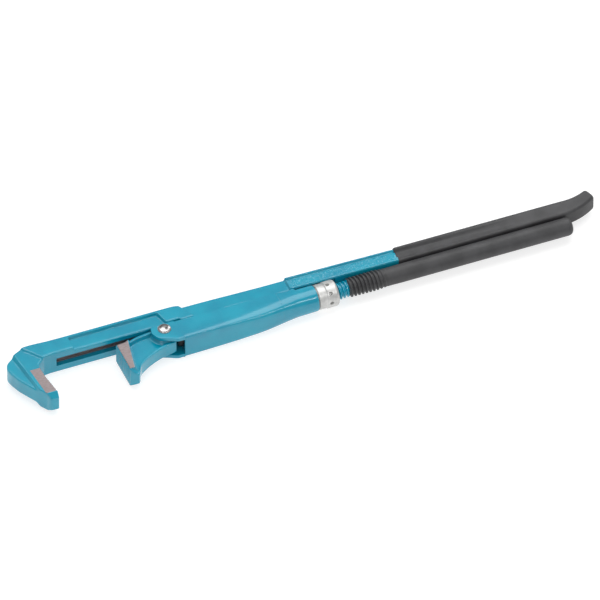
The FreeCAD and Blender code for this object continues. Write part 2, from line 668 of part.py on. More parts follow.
jaw_rivet = body("jaw_rivet")
dome_radius = "((rivet_head * rivet_head + dome_high * dome_high) / dome_high / 2)"
rivet = outline(jaw_rivet, "rivet", [
    ("0", "0 - body_thick / 2"),
    ("rivet_radius", "0 - body_thick / 2"),
    ("rivet_radius", "body_thick / 2"),
    ("rivet_head", "body_thick / 2"),
    ("rivet_head * 0.93", "body_thick / 2 + dome_high * 0.36"),
    ("rivet_head * 0.74", "body_thick / 2 + dome_high * 0.68"),
    ("rivet_head * 0.42", "body_thick / 2 + dome_high * 0.92"),
    ("0", "body_thick / 2 + dome_high"),
], "XZ_Plane")
turning_line(rivet, ("0", "0"), ("0", "10"))
grown(jaw_rivet, "Revolution", rivet, ReferenceAxis=(rivet, ["Axis0"]), Angle="360")

washer = body("thrust_washer")
washer_ring = outline(washer, "washer_ring", [
    ("tube_end", "axis_y + spigot_radius"),
    ("tube_end", "axis_y + tube_radius - 1"),
    ("tube_end + washer_thick", "axis_y + tube_radius - 1"),
    ("tube_end + washer_thick", "axis_y + spigot_radius"),
])
turning_line(washer_ring, ("0", "axis_y"), ("10", "axis_y"))
grown(washer, "Revolution", washer_ring, ReferenceAxis=(washer_ring, ["Axis0"]), Angle="360")

keeper = body("retaining_ring")
keeper_ring = outline(keeper, "keeper_ring", [
    (ring_place, "axis_y + spigot_radius - ring_high / 2 + run_gap"),
    (ring_place, "axis_y + spigot_radius + run_gap + ring_high / 2"),
    (ring_place + " + ring_wide", "axis_y + spigot_radius + run_gap + ring_high / 2"),
    (ring_place + " + ring_wide", "axis_y + spigot_radius - ring_high / 2 + run_gap"),
])
turning_line(keeper_ring, ("0", "axis_y"), ("10", "axis_y"))
grown(keeper, "Revolution", keeper_ring, ReferenceAxis=(keeper_ring, ["Axis0"]), Angle="350")

spring = body("jaw_spring")
leaf = outline(spring, "leaf", [
    ("spring_end", inner_floor),
    ("spring_end", inner_floor + " + spring_thick"),
    ("wall_front + 10", inner_floor + " + spring_thick"),
    ("wall_front + 2", inner_floor + " + 3 + spring_thick"),
    ("wall_front - 2", inner_floor + " + 4.6 + spring_thick"),
    ("wall_front - 2", inner_floor + " + 4.4"),
    ("wall_front + 2.4", inner_floor + " + 2.6"),
    ("wall_front + 10.4", inner_floor),
])
grown(spring, "Pad", leaf, Length="spring_wide", SideType="Symmetric")
leaf_hole = ring(spring, "leaf_hole", "spring_end - 5", "0", "2", "XZ_Plane",
                 "0 - (" + inner_floor + ")")
grown(spring, "Pocket", leaf_hole, Length="spring_thick + 1")

stud = body("spring_rivet")
shank = ring(stud, "stud", "spring_end - 5", "0", "2", "XZ_Plane",
             "0 - (" + inner_floor + ") + floor_wall - 1")
grown(stud, "Pad", shank, Length="floor_wall - 1 + spring_thick", Reversed=True)
cap = ring(stud, "stud_head", "spring_end - 5", "0", "3.2", "XZ_Plane",
           "0 - (" + inner_floor + ") - spring_thick")
grown(stud, "Pad", cap, Length="1", Reversed=True)


# ---- every piece is moved to the tool's own frame, tested and written out

doc.recompute()
for thing in doc.Objects:
    if "Invalid" in thing.State or "Error" in thing.State:
        raise RuntimeError(thing.Name + " failed: " + str(thing.State))

whole = Part.makeCompound([piece.Shape for piece in PIECES]).optimalBoundingBox(False)
seat = Vector(-(whole.XMin + whole.XMax) / 2, -(whole.YMin + whole.YMax) / 2, -whole.ZMin)
print("jaw rivet at", seat)
print("size", whole.XLength, whole.YLength, whole.ZLength)
for piece in PIECES:
    piece.Placement = Placement(seat, Rotation())
doc.recompute()

os.makedirs("parts", exist_ok=True)
for piece in PIECES:
    if piece.Shape.isNull() or not piece.Shape.isValid():
        raise RuntimeError(piece.Label + " has no sound shape")
    piece.Shape.exportStep("parts/" + piece.Label + ".step")
    print(piece.Label, round(piece.Shape.Volume), len(piece.Shape.Solids))
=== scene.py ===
import math

import bpy
import numpy as np
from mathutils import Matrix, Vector


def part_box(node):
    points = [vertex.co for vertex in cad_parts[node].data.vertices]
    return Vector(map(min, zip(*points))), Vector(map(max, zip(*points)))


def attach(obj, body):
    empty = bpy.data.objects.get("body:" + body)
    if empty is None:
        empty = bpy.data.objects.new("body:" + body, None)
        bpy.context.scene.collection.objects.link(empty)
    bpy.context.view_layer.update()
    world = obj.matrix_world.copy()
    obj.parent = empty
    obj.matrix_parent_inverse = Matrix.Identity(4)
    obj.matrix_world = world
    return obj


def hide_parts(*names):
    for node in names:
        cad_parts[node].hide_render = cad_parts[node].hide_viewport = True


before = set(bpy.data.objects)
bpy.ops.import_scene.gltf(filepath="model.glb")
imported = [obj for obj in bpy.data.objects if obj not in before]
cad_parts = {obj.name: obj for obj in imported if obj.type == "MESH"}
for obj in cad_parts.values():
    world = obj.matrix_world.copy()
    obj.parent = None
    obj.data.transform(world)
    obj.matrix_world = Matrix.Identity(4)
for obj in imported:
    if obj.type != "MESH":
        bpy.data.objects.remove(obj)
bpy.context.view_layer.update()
print("frame loaded:", len(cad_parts), "nodes")

# All shapes below are drawn in millimetres about the jaw rivet: x runs back along the handles, y towards
# the back of the shank, z up from the middle plane. placed() turns them into metres in the tool's frame.
rivetLow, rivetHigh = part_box("jaw_rivet")
rivetAt = np.array([(rivetLow.x + rivetHigh.x) / 2, (rivetLow.y + rivetHigh.y) / 2, rivetLow.z + 0.012])


# a thousandth of each number, plus the rivet's place
def placed(points):
    return points * 0.001 + rivetAt


# smooth rise from 0 at low to 1 at high: 3t^2 - 2t^3
def ramp(value, low, high):
    t = np.clip((value - low) / (high - low), 0, 1)
    return t * t * (3 - 2 * t)


# rows of key points filled in by straight lines; a row's last number is its steps to the next row
def filled(rows):
    keys = np.array(rows, float)
    parts = [np.linspace(a[:-1], b[:-1], int(a[-1]), endpoint=False) for a, b in zip(keys[:-1], keys[1:])]
    return np.concatenate(parts + [keys[-1:, :-1]])


# evens out a line by averaging each point with its neighbours, ends held, a number of times over
def eased(line, times):
    for _ in range(times):
        line = np.concatenate([line[:1], line[:-2] / 4 + line[1:-1] / 2 + line[2:] / 4, line[-1:]])
    return line


# quads of a grid of rows by cols vertices, closed round the columns and, if asked, round the rows too
def gridQuads(rows, cols, ringed=False):
    i = np.arange(rows if ringed else rows - 1)[:, None]
    j = np.arange(cols)[None, :]
    nextI, nextJ = (i + 1) % rows, (j + 1) % cols
    corners = [i * cols + j, i * cols + nextJ, nextI * cols + nextJ, nextI * cols + j]
    return np.stack([c.reshape(-1) for c in corners], 1)


# the quads' signed cones to the origin, summed: negative when the faces point inwards
def volumeOf(points, quads):
    a, b, c, d = (points[quads[:, k]] for k in range(4))
    return (np.cross(b, c) * a).sum() + (np.cross(c, d) * a).sum()


# one object from points and quads: all its faces are turned together if their volume is negative
def piece(name, points, quads, material, body, nodes, marks=None, sharp=38):
    points = placed(points.reshape(-1, 3))
    middle = points.mean(0)
    if volumeOf(points - middle, quads) < 0:
        quads = quads[:, ::-1]
    mesh = bpy.data.meshes.new(name)
    mesh.from_pydata(points.tolist(), [], quads.tolist())
    for label, values in (marks or {}).items():
        layer = mesh.attributes.new(label, "FLOAT", "POINT")
        layer.data.foreach_set("value", np.asarray(values, np.float32).reshape(-1))
    mesh.polygons.foreach_set("use_smooth", np.ones(len(quads), bool))
    mesh.set_sharp_from_angle(angle=math.radians(sharp))
    mesh.validate()
    made = bpy.data.objects.new(name, mesh)
    bpy.context.scene.collection.objects.link(made)
    mesh.materials.append(material)
    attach(made, body)
    if nodes:
        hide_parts(*nodes)
    return made


# several closed grids as one mesh: their points and quads put one after the other
def joined(parts):
    points, quads, count = [], [], 0
    for p, q in parts:
        points.append(p.reshape(-1, 3))
        quads.append(q + count)
        count += len(points[-1])
    return np.concatenate(points), np.concatenate(quads)


# A flat forging between two edge lines. Each station is a closed loop: over the top from the first edge to
# the second, down that side, back under the bottom and up the first side. height(x, y, fromFirst, fromSecond)
# is half the thickness, and a quarter circle of the edge's radius rounds each corner. sideRows are heights up
# the first side, and push(x, z) moves those points inwards, for a groove. Quads from the upper to the lower
# half close both ends; the points of the two sides lie in a line there and are not joined to them.
def plate(lines, height, underside, roundFirst, roundSecond, across, sideRows, push=None):
    first, second = lines[:, :2], lines[:, 2:]
    span = np.linalg.norm(second - first, axis=1)[:, None]
    way = ((second - first) / span)[:, None, :]
    bend = np.linspace(0, np.pi / 2, 6)
    rf = np.minimum(np.broadcast_to(roundFirst, (len(lines),))[:, None], span * 0.45)
    rs = np.minimum(np.broadcast_to(roundSecond, (len(lines),))[:, None], span * 0.45)
    inner = rf + (span - rf - rs) * np.linspace(0, 1, across + 2)[None, 1:-1]
    distance = np.concatenate([rf * (1 - np.cos(bend)), inner, span - rs * (1 - np.cos(bend[::-1]))], 1)
    none = np.zeros_like(inner)
    drop = np.concatenate([rf * (1 - np.sin(bend)), none, rs * (1 - np.sin(bend[::-1]))], 1)
    plan = first[:, None, :] + way * distance[..., None]
    x, y = plan[..., 0], plan[..., 1]
    top = height(x, y, distance, span - distance) - drop
    low = -(underside(x, y, distance, span - distance) - drop)
    share = np.linspace(0, 1, 8)[1:-1]
    farZ = top[:, -1:] + (low[:, -1:] - top[:, -1:]) * share
    far = np.concatenate([np.repeat(second[:, None, :], len(share), 1), farZ[..., None]], 2)
    nearZ = low[:, :1] * 0 + np.clip(np.array(sideRows, float)[None, :], low[:, :1] + 0.01, top[:, :1] - 0.01)
    deep = push(first[:, :1] + 0 * nearZ, nearZ) if push else 0 * nearZ
    near = np.concatenate([first[:, None, :] + way * deep[..., None], nearZ[..., None]], 2)
    over = np.concatenate([plan, top[..., None]], 2)
    under = np.concatenate([plan, low[..., None]], 2)[:, ::-1]
    loops = np.concatenate([over, far, under, near], 1)
    rows, cols = loops.shape[:2]
    width = over.shape[1]
    j = np.arange(width - 1)
    mirror = 2 * width + len(share) - 1 - j
    cap = np.stack([j, j + 1, mirror - 1, mirror], 1)
    return loops, np.concatenate([gridQuads(rows, cols), cap[:, ::-1], cap + (rows - 1) * cols])


axisY = -1.5  # the screw's axis


# the same height everywhere
def even(half):
    return lambda x, y, fromFirst, fromSecond: half + 0 * x


# A turned shape: the closed profile (x along the axis, r from it) carried round the screw's axis.
# change(x, r, angle) alters the radius where a thread or a hole is cut.
def turned(profile, count, change=None):
    angle = np.arange(count) * 2 * np.pi / count
    x = np.repeat(profile[:, :1], count, 1)
    r = np.repeat(profile[:, 1:2], count, 1)
    if change:
        r = change(x, r, angle[None, :])
    return np.stack([x, axisY + r * np.cos(angle), r * np.sin(angle)], 2)


class Wire:
    # wraps a node's output socket, so that sums on it add Math nodes
    def __init__(self, tree, socket=None):
        self.tree = tree
        self.socket = socket

    # adds a node: settings are set first, then each input gets its value or its link
    def node(self, kind, settings, inputs, output=0):
        made = self.tree.nodes.new(kind)
        for label, value in settings.items():
            setattr(made, label, value)
        for label, value in inputs.items():
            if isinstance(value, Wire):
                self.tree.links.new(value.socket, made.inputs[label])
            else:
                made.inputs[label].default_value = value
        return Wire(self.tree, made.outputs[output] if len(made.outputs) else None)

    # a Math node on two values
    def maths(self, operation, first, second):
        return self.node("ShaderNodeMath", {"operation": operation}, {0: first, 1: second})

    def __add__(self, other):
        return self.maths("ADD", self, other)

    __radd__ = __add__

    def __sub__(self, other):
        return self.maths("SUBTRACT", self, other)

    def __rsub__(self, other):
        return self.maths("SUBTRACT", other, self)

    def __mul__(self, other):
        return self.maths("MULTIPLY", self, other)

    __rmul__ = __mul__

    # 0 below low, 1 above high, 3t^2 - 2t^3 between
    def between(self, low, high):
        return self.node("ShaderNodeMapRange", {"interpolation_type": "SMOOTHSTEP"},
                         {"Value": self, "From Min": low, "From Max": high})

    # one colour or value into another by this factor
    def mixed(self, first, second):
        return self.node("ShaderNodeMix", {"data_type": "RGBA"}, {0: self, 6: first, 7: second}, 2)

    # noise over the object's own coordinates, stretched if asked
    def noise(self, scale, detail=2.0, roughness=0.5, stretch=None):
        place = self.node("ShaderNodeTexCoord", {}, {}, 3)
        if stretch:
            place = self.node("ShaderNodeMapping", {}, {"Vector": place, "Scale": stretch})
        return self.node("ShaderNodeTexNoise", {}, {"Vector": place, "Scale": scale, "Detail": detail,
                                                    "Roughness": roughness})

    # a number stored on the points
    def mark(self, label):
        return self.node("ShaderNodeAttribute", {"attribute_name": label}, {}, 2)

    # a normal tilted by the slope of a height
    def bumped(self, height, strength, distance):
        return self.node("ShaderNodeBump", {}, {"Height": height, "Strength": strength, "Distance": distance})


# an empty material and the Wire that adds nodes to it
def newMaterial(name):
    made = bpy.data.materials.new(name)
    made.use_nodes = True
    made.node_tree.nodes.clear()
    return made, Wire(made.node_tree)


# one principled shader, joined to the output
def finish(tree, inputs):
    shader = tree.node("ShaderNodeBsdfPrincipled", {}, inputs)
    tree.node("ShaderNodeOutputMaterial", {}, {"Surface": shader})


paint = {
    "deep": (0.000, 0.262, 0.392, 1),
    "light": (0.001, 0.322, 0.455, 1),
    "bare": (0.345, 0.290, 0.290, 1),
    "bareDark": (0.215, 0.180, 0.180, 1),
    # painted shade: near black for the inside of the sleeve's channel
    "inside": (0.006, 0.009, 0.011, 1),
    "roughness": 0.20,
    "coat": 0.40,
}


# gloss enamel over a forging: soft orange peel, hammered where the mark says with painted highlight flecks in the
# dents, bare ground steel on the jaws; the plain kind may darken the inside mark's points to near black as painted
# shade
def enamel(name, marked=True, inside=False):
    made, tree = newMaterial(name)
    cloud = tree.noise(38.0, 3.0).between(0.3, 0.7)
    colour = cloud.mixed(paint["deep"], paint["light"])
    peel = tree.noise(420.0, 2.0)
    height = peel * 0.35
    if marked:
        hammer = tree.mark("hammered")
        blows = tree.noise(330.0, 1.0)
        dents = tree.noise(700.0, 2.0)
        height = height + hammer * (blows * 7.0 + dents * 4.0)
        # light flecks in the hammered dents: painted highlights
        colour = (hammer * dents.between(0.56, 0.7) * 0.55).mixed(colour, (0.16, 0.52, 0.64, 1))
        bare = tree.mark("bare").between(-0.12, 0.12)
        grind = tree.noise(260.0, 4.0, 0.65, (1.0, 6.0, 1.0))
        steel = grind.between(0.25, 0.75).mixed(paint["bareDark"], paint["bare"])
        colour = bare.mixed(colour, steel)
        height = height * (1 - bare) + bare * grind * 0.6
        roughness = bare * 0.22 + paint["roughness"]
        metallic = bare * 0.75
        coat = (1 - bare) * paint["coat"]
        finish(tree, {"Base Color": colour, "Roughness": roughness, "Metallic": metallic, "Coat Weight": coat,
                      "Coat Roughness": 0.08, "Normal": tree.bumped(height, 0.35, 0.0003)})
    else:
        # painted shade: the points of the inside mark darken to near black
        if inside:
            colour = tree.mark("inside").between(0.1, 0.8).mixed(colour, paint["inside"])
        finish(tree, {"Base Color": colour, "Roughness": paint["roughness"], "Coat Weight": paint["coat"],
                      "Coat Roughness": 0.08, "Normal": tree.bumped(height, 0.35, 0.0003)})
    return made


# matte dipped coat: near black, faintly cloudy, with a fine skin
def dippedCoat():
    made, tree = newMaterial("dippedCoat")
    colour = tree.noise(55.0, 3.0).between(0.3, 0.7).mixed((0.034, 0.034, 0.036, 1), (0.052, 0.052, 0.055, 1))
    skin = tree.noise(900.0, 3.0) * 0.6 + tree.noise(160.0, 2.0)
    rough = tree.noise(80.0, 2.0) * 0.12 + 0.46
    finish(tree, {"Base Color": colour, "Roughness": rough, "Normal": tree.bumped(skin, 0.25, 0.0002)})
    return made


# a metal with mottled tone and a fine grain in its normal
def metal(name, dark, light, metallic, roughness, grain, depth):
    made, tree = newMaterial(name)
    colour = tree.noise(120.0, 4.0, 0.6).between(0.3, 0.7).mixed(dark, light)
    rough = tree.noise(200.0, 3.0) * 0.12 + (roughness - 0.06)
    finish(tree, {"Base Color": colour, "Roughness": rough, "Metallic": metallic,
                  "Normal": tree.bumped(tree.noise(grain, 3.0), depth, 0.0002)})
    return made


# bright plating with dark reflections painted onto the dome where the shade mark says: painted reflection
def domePlate():
    made, tree = newMaterial("rivetPlate")
    tone = tree.noise(300.0, 3.0).between(0.3, 0.7).mixed((0.44, 0.42, 0.42, 1), (0.62, 0.61, 0.60, 1))
    colour = tree.mark("shade").mixed(tone, (0.030, 0.026, 0.026, 1))
    finish(tree, {"Base Color": colour, "Roughness": 0.22, "Metallic": 1.0,
                  "Normal": tree.bumped(tree.noise(500.0, 2.0), 0.08, 0.0002)})
    return made


blueEnamel = enamel("blueEnamel")
rivetPlate = domePlate()
plainEnamel = enamel("plainEnamel", marked=False)
sleeveEnamel = enamel("sleeveEnamel", marked=False, inside=True)
blackCoat = dippedCoat()
zincPlate = metal("zincPlate", (0.50, 0.50, 0.49, 1), (0.66, 0.66, 0.645, 1), 0.55, 0.42, 900.0, 0.25)
# near-black steel for the spring and its rivet: painted shade of the dark opening they sit in
springShadeSteel = metal("springShadeSteel", (0.010, 0.010, 0.011, 1), (0.022, 0.021, 0.020, 1), 0.3, 0.5, 600.0, 0.2)
oiledSteel = metal("oiledSteel", (0.16, 0.155, 0.15, 1), (0.26, 0.25, 0.24, 1), 0.9, 0.38, 600.0, 0.2)
print("materials made")


leg = {
    "shankHalf": 12.0, "headHalf": 10.5, "floorHalf": 7.6, "neckHalf": 9.2, "neckLoss": 1.6, "barHalf": 5.5,
    "toothTop": -1.6, "toothPitch": 2.4, "toothDepth": 0.8, "toothCount": 14,
    "ledgeFront": -82.0, "ledgeBack": 21.4, "ledgeDeep": 2.9,
    "grooveHalf": 4.35, "grooveFront": -98.6, "grooveDeep": 6.8,
    "handleStart": 121.8, "gripStart": 225.5, "bendStart": 386.0, "bendCentre": 70.0, "bendMiddle": 15.0,
    "ribHigh": 10.5, "innerHigh": 9.6, "webHigh": 9.2, "ribLoss": 2.0,
}


# saw teeth along y: each rises to its full depth in 0.3 of the pitch and comes back by 0.92 of it
def saw(y):
    along = (leg["toothTop"] - y) / leg["toothPitch"]
    part = along - np.floor(along)
    inside = (along > 0) & (along < leg["toothCount"])
    return leg["toothDepth"] * inside * np.clip(np.minimum(part / 0.3, (0.92 - part) / 0.62), 0, 1)


# half the leg's thickness: shank, hook plane, hook floor, pad and neck, then ribs and web along the handle
def legHeight(x, y, fromFirst, fromSecond):
    toHead = (x + 124) * -0.8 + (y - 23.4) * -0.6
    toFloor = (x + 133.6) * -0.993 + (y - 17.4) * -0.118
    h = leg["shankHalf"] + (leg["headHalf"] - leg["shankHalf"]) * ramp(toHead, -0.2, 1.6)
    h = h + (leg["floorHalf"] - h) * ramp(toFloor, 0, 2.4)
    h = np.where(y < -35.6, np.minimum(h, leg["headHalf"] + (y + 35.6) * 0.75), h)
    toNeck = (x - 23) * 0.9 + (y - 22) * 0.436
    neck = leg["neckHalf"] - leg["neckLoss"] * ramp(x, 30, 112)
    h = h + (neck - h) * ramp(toNeck, -0.4, 1.4)
    loss = (x - leg["handleStart"]) / (leg["gripStart"] - leg["handleStart"]) * leg["ribLoss"]
    web = leg["webHigh"] - loss - 0.6 * np.exp(-((y - 19.7) / 0.6) ** 2)
    rib = (leg["ribHigh"] - leg["webHigh"]) * ramp(y, 20.1, 21.1)
    inner = (leg["innerHigh"] - leg["webHigh"]) * (1 - ramp(y, 10.2, 11.2))
    handle = web + rib + inner
    h = h + (handle - h) * ramp(x, leg["handleStart"] - 0.4, leg["handleStart"] + 1.4)
    return np.where(x > leg["gripStart"] + 0.6, leg["barHalf"], h)


# the upper side also has the long ledge along the shank
def legTop(x, y, fromFirst, fromSecond):
    ledgeEnd = 1.7 + (19.5 - y) * 0.26
    ledge = ramp(x, leg["ledgeFront"] - 0.6, leg["ledgeFront"] + 0.6) * (1 - ramp(x - ledgeEnd, -0.7, 0.7))
    ledge = ledge * (1 - ramp(y, leg["ledgeBack"] - 0.5, leg["ledgeBack"] + 0.7))
    return legHeight(x, y, fromFirst, fromSecond) - leg["ledgeDeep"] * ledge


# how far the inner side is cut in: the groove for the jaw, then the round room for the nut
def legPush(x, z):
    groove = leg["grooveDeep"] * ((np.abs(z) < leg["grooveHalf"] + 0.02) & (x > leg["grooveFront"]) & (x < 60))
    room = np.sqrt(np.clip(12.6 ** 2 - z ** 2, 0, None)) + axisY - 8.0
    return np.where((x > 60) & (x < 164.9), np.maximum(room, 0), groove)


# past the bend's start, points go round its centre by their way along over the radius of the middle line
def bent(along, x, y):
    turn = np.clip(along - leg["bendStart"], 0, None) / (leg["bendCentre"] - leg["bendMiddle"])
    reach = leg["bendCentre"] - y
    bentX = np.where(turn > 0, leg["bendStart"] + reach * np.sin(turn), x)
    bentY = np.where(turn > 0, leg["bendCentre"] - reach * np.cos(turn), y)
    return bentX, bentY


legRows = [
    (-116.2, -40.9, -122.4, -40.4, 3), (-115.2, -40.2, -123.5, -39.4, 6),
    (-115.0, -36.0, -124.6, -35.7, 25), (-116.2, -27, -130.0, -27, 34), (-118.0, -15, -136.6, -15, 20),
    (-118.2, -8, -140.4, -8, 20), (-118.8, -1.2, -143.9, 2, 7), (-117.6, 1.2, -145.2, 8.6, 9),
    (-115.4, 3.4, -142.6, 15.4, 10), (-112.8, 5.6, -133.8, 21.6, 10), (-110.6, 7.2, -124.4, 26.0, 10),
    (-104, 7.9, -113, 26.0, 8), (-98.7, 7.9, -103, 25.3, 1), (-98.5, 7.9, -102.8, 25.2, 16),
    (-83.5, 7.9, -83.5, 25.0, 12), (-80.5, 7.9, -80.5, 25.0, 64), (-1, 7.9, -1, 25.0, 22),
    (10, 8.0, 10, 25.0, 10), (17, 8.0, 17, 24.9, 4), (18.8, 5.9, 18.8, 24.6, 8), (25, 5.9, 22.6, 23.6, 12),
    (31.5, 5.9, 26, 22.9, 6), (34, 6.4, 31, 22.9, 22), (59.9, 6.4, 59.9, 22.9, 1), (60.1, 8.0, 60.1, 22.9, 34),
    (119, 8.0, 119, 22.9, 6), (121.4, 8.1, 121.4, 22.9, 10), (124, 8.2, 124, 22.9, 150),
    (225.4, 8.2, 225.4, 22.9, 1), (226.4, 9.2, 226.4, 20.8, 30), (385, 9.2, 385, 20.8, 14),
    (406.0, 11.6, 406.0, 19.8, 1),
]
legLines = filled(legRows)
toothed = (legLines[:, 0] < -114.9) & (legLines[:, 1] > -36.01) & (legLines[:, 1] < -1.19)
legLines[:, 0] -= np.where(toothed, saw(legLines[:, 1]), 0)
legLines[:, 2:] = eased(legLines[:, 2:], 10)
bentX, bentY = bent(legLines[:, :1], legLines[:, ::2], legLines[:, 1::2])
legLines = np.stack([bentX[:, 0], bentY[:, 0], bentX[:, 1], bentY[:, 1]], 1)
edgeOfTeeth = np.where((legLines[:, 0] < -110) & (legLines[:, 1] < 0.5), 0.45, 1.6)
edgeOfTeeth = np.where(legLines[:, 0] > 30, 1.5, edgeOfTeeth)
grooveRows = [-10, -7, -4.5, -4.35, -4.34, -2, 2, 4.34, 4.35, 4.5, 7, 10]
legLoops, legQuads = plate(legLines, legTop, legHeight, edgeOfTeeth, 1.5, 40, grooveRows, legPush)
x, y, z = (legLoops[..., k] for k in range(3))
handMade = ramp(x, 122, 124) * (1 - ramp(x, 224.6, 225.4))
handMade = handMade * ramp(y, 8.4, 9.0) * (1 - ramp(y, 19.6, 20.4)) * 0.9
stripBack = -125.4 - 0.0865 * (y + 35)
stripMark = np.minimum(np.minimum(x - stripBack, -3.3 - y), np.minimum(y + 35.2, np.abs(z) - 10.2 + 0.12))
grooveMark = np.where((np.abs(z) < 4.36) & (x > -98.65) & (x < 60) & (y > 6.3) & (y < 20), 0.5, -1.0)
bareMark = np.maximum(stripMark, grooveMark)
knobTurn = np.arange(24) * 2 * np.pi / 24
knobRows = np.array([(0.02, -9.4), (1.7, -9.4), (2.0, -9.0), (2.0, 8.6), (1.7, 9.2), (1.0, 9.5), (0.02, 9.5)])
knob = np.stack([9.0 + knobRows[:, :1] * np.cos(knobTurn), 25.1 + knobRows[:, :1] * np.sin(knobTurn),
                 np.repeat(knobRows[:, 1:], 24, 1)], 2)
legPoints, legFaces = joined([(legLoops, legQuads), (knob, gridQuads(len(knob), 24, ringed=True)[:, ::-1])])
spare = np.zeros(knob.size // 3)
piece("fixedLeg", legPoints, legFaces, blueEnamel, "fixed_leg", ["fixed_leg"],
      {"bare": np.concatenate([bareMark.reshape(-1), spare - 1]),
       "hammered": np.concatenate([handMade.reshape(-1), spare])})
print("fixed leg made:", len(legQuads), "faces")


gripUpper = {"half": 7.6, "ribExtra": 2.2, "webSink": 0.8, "fadeEnd": 380.0, "corner": 2.4}


# half the coat's thickness: the handle's ribs show through it and fade away towards the bend
def coatHeight(x, y, fromFirst, fromSecond):
    fade = 1 - ramp(x, 232, gripUpper["fadeEnd"])
    rib = gripUpper["ribExtra"] * ramp(y, 10.0 + 8.5 * fade, 21.0)
    web = gripUpper["webSink"] * ramp(y, 9.0, 11.5) * (1 - ramp(y, 17.6, 19.4))
    front = 1 - 0.10 * (1 - ramp(x, 225.5, 226.6))
    return (gripUpper["half"] + rib - fade * web) * front


coatLines = filled([
    (225.5, 7.9, 225.5, 23.6, 4), (228, 7.9, 228, 23.8, 90), (385, 8.0, 385, 23.4, 20),
    (413.4, 10.8, 413.4, 22.0, 1),
])
tipRound = np.linspace(0, 1, 7)[1:]
tip = np.repeat(coatLines[-1:], len(tipRound), 0)
tip[:, ::2] += 3.2 * np.sin(tipRound * np.pi / 2)[:, None]
tip[:, 1] += 2.6 * (1 - np.cos(tipRound * np.pi / 2))
tip[:, 3] -= 2.6 * (1 - np.cos(tipRound * np.pi / 2))
coatPath = np.concatenate([coatLines, tip])


# the coat's height less a quarter circle over the rows of the rounded tip
def tipHeight(x, y, fromFirst, fromSecond):
    row = np.arange(len(x))[:, None] - len(coatLines) + 1
    inward = np.clip(row / len(tipRound), 0, 1) * np.pi / 2
    return coatHeight(x, y, fromFirst, fromSecond) - 2.6 * (1 - np.cos(inward))


coatLoops, coatQuads = plate(coatPath, tipHeight, tipHeight, gripUpper["corner"], gripUpper["corner"],
                             26, [-2, 0, 2])
flat = coatLoops.reshape(-1, 3)
flat[:, 0], flat[:, 1] = bent(flat[:, 0].copy(), flat[:, 0].copy(), flat[:, 1].copy())
piece("upperGrip", flat, coatQuads, blackCoat, "fixed_leg", ["upper_grip"], sharp=50)
print("upper grip made:", len(coatQuads), "faces")


screw = {
    "pitch": 3.5, "root": 6.0, "crest": 7.7, "first": 63.0, "last": 175.0, "rod": 7.2, "end": 384.0, "aside": 1.0,
}


# the thread's rise at a place along the axis and round it: 1 on the crest, 0 at the root
def threadRise(x, angle):
    along = (x - screw["pitch"] * angle / (2 * np.pi)) / screw["pitch"]
    away = np.abs(along - np.floor(along) - 0.5) * 2
    return 1 - ramp(away, 0.24, 0.78)


# the core's radius plus the thread's rise, faded in and out at the ends of the screw
def threaded(x, r, angle):
    on = ramp(x, 63.5, 66) * (1 - ramp(x, 173.5, 174.5))
    return r + (screw["crest"] - screw["root"]) * threadRise(x, angle) * on * (r > 5.9)


# the rear of this leg stands nearer to the other handle by a smooth rise
def setAside(points):
    points[..., 1] += screw["aside"] * ramp(points[..., 0], 162, 176)
    return points


rod = filled([
    (51.8, 0.02, 2), (52, 3.6, 2), (54.6, screw["root"], 4), (screw["first"], screw["root"], 250),
    (screw["last"], screw["root"], 4), (211, screw["root"], 2), (214, screw["rod"], 20),
    (379.5, screw["rod"], 3), (screw["end"], 4.0, 2), (screw["end"] + 0.1, 0.02, 1),
])
rodPoints = setAside(turned(rod, 48, threaded))
rodQuads = gridQuads(len(rod), 48, ringed=True)
armLines = filled([
    (14.0, 11.6, 14.0, 14.4, 3), (15.2, 9.2, 15.2, 16.8, 3), (18, 7.2, 18, 18.8, 4), (21, 6.9, 21, 19.0, 4),
    (24, 6.3, 24, 18.2, 10), (46, -7.6, 50, 4.7, 8), (60, -7.3, 60, 4.3, 1),
])
armLoops, armQuads = plate(armLines, even(4.0), even(4.0), 0.6, 0.6, 6, [-1, 0, 1])
screwPoints, screwQuads = joined([(rodPoints, rodQuads), (armLoops, armQuads)])
piece("screwLeg", screwPoints, screwQuads, plainEnamel, "screw_leg", ["screw_leg"], sharp=45)

gripLower = {"start": 173.0, "ridges": 40.0, "turnHeight": 1.9}


# the coat follows the thread under it near its front end, and the turns sink away towards the handle
def dippedTurns(x, r, angle):
    fade = ramp(x, 173.1, 174.1) * (1 - ramp(x, 196, gripLower["start"] + gripLower["ridges"]))
    return r + gripLower["turnHeight"] * fade * (threadRise(x, angle) - 0.35) * (r > 6.9)


coatLength = np.linspace(0, 1, 9)
endTurn = np.sin(coatLength * np.pi / 2)
dip = np.concatenate([
    filled([(173.0, 6.6, 2), (173.1, 7.0, 3), (173.9, 7.5, 190), (213, 8.1, 14), (222, 8.25, 30), (381.2, 8.2, 1)]),
    np.stack([381.8 + 4.6 * endTurn, 8.2 - 4.4 * (1 - np.cos(coatLength * np.pi / 2))], 1),
    np.array([[386.5, 2.4], [386.5, 0.02]]),
])
dipPoints = setAside(turned(dip, 64, dippedTurns))
dipQuads = gridQuads(len(dip), 64, ringed=True)
piece("lowerGrip", dipPoints, dipQuads, blackCoat, "screw_leg", ["lower_grip"], sharp=50)
print("screw leg and lower grip made")


